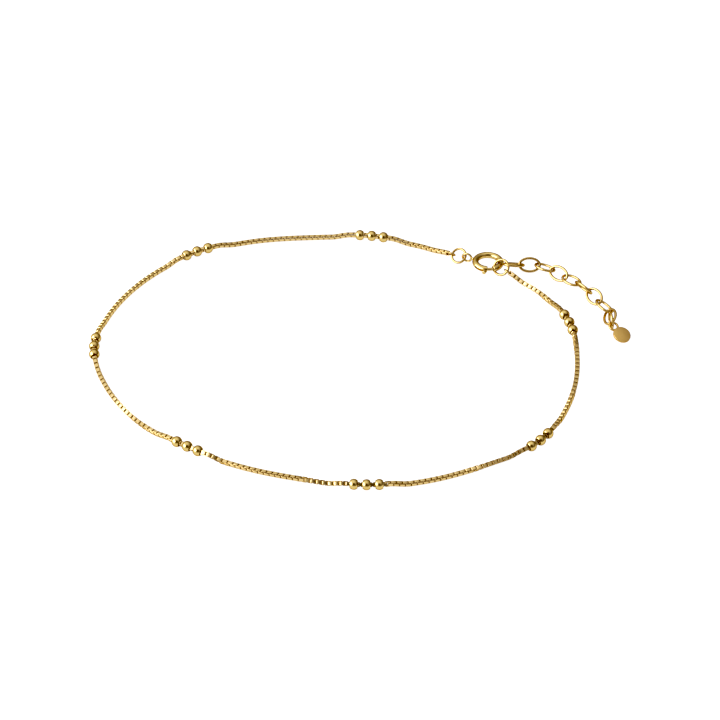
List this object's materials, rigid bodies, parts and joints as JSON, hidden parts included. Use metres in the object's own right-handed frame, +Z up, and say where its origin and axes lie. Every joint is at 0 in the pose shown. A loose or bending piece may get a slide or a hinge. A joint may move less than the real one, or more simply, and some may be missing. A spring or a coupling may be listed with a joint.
{
  "type": "charm anklet",
  "caption": "Gold-coloured box-chain anklet with groups of small round beads, a spring-ring clasp and a cable-link extender that ends in a round tag.",
  "frame": {"origin": "centre of the overall box, on the surface that the anklet lies on", "axes": "+X along the longest side of the fastened loop, towards the extender's tag; +Z up from the surface; the clasp is on the +Y side"},
  "size_m": [0.0884, 0.0626, 0.003],
  "materials": {
    "chain_gold": "polished gold plate",
    "bead_gold": "mirror-polished gold plate",
    "wire_gold": "polished gold plate",
    "clasp_gold": "polished gold plate",
    "tag_gold": "satin-brushed gold plate"
  },
  "bodies": {
    "anklet": {"box_chain": "chain_gold", "bead_1_1": "bead_gold", "bead_1_2": "bead_gold", "bead_1_3": "bead_gold", "bead_2_1": "bead_gold", "bead_2_2": "bead_gold", "bead_2_3": "bead_gold", "bead_3_1": "bead_gold", "bead_3_2": "bead_gold", "bead_3_3": "bead_gold", "bead_4_1": "bead_gold", "bead_4_2": "bead_gold", "bead_4_3": "bead_gold", "bead_5_1": "bead_gold", "bead_5_2": "bead_gold", "bead_5_3": "bead_gold", "bead_6_1": "bead_gold", "bead_6_2": "bead_gold", "bead_6_3": "bead_gold", "bead_7_1": "bead_gold", "bead_7_2": "bead_gold", "bead_7_3": "bead_gold", "jump_ring_a": "wire_gold", "jump_ring_b": "wire_gold", "clasp_body": "clasp_gold", "extender_link_1": "wire_gold", "extender_link_2": "wire_gold", "extender_link_3": "wire_gold", "extender_link_4": "wire_gold", "extender_link_5": "wire_gold", "extender_link_6": "wire_gold", "extender_link_7": "wire_gold", "extender_link_8": "wire_gold", "extender_link_9": "wire_gold", "tag_ring": "wire_gold", "end_tag": "tag_gold"},
    "clasp_bolt": {"clasp_bolt": "clasp_gold"}
  },
  "joints": [
    {"name": "clasp_bolt_slide", "type": "hinge", "parent": "anklet", "child": "clasp_bolt", "pos_m": [0.02135, 0.02311, 0.0011], "axis": [-0.0271, -0.101, -0.9945], "range_deg": [0, 36], "stiffness_Nm_per_rad": 0.001}
  ]
}
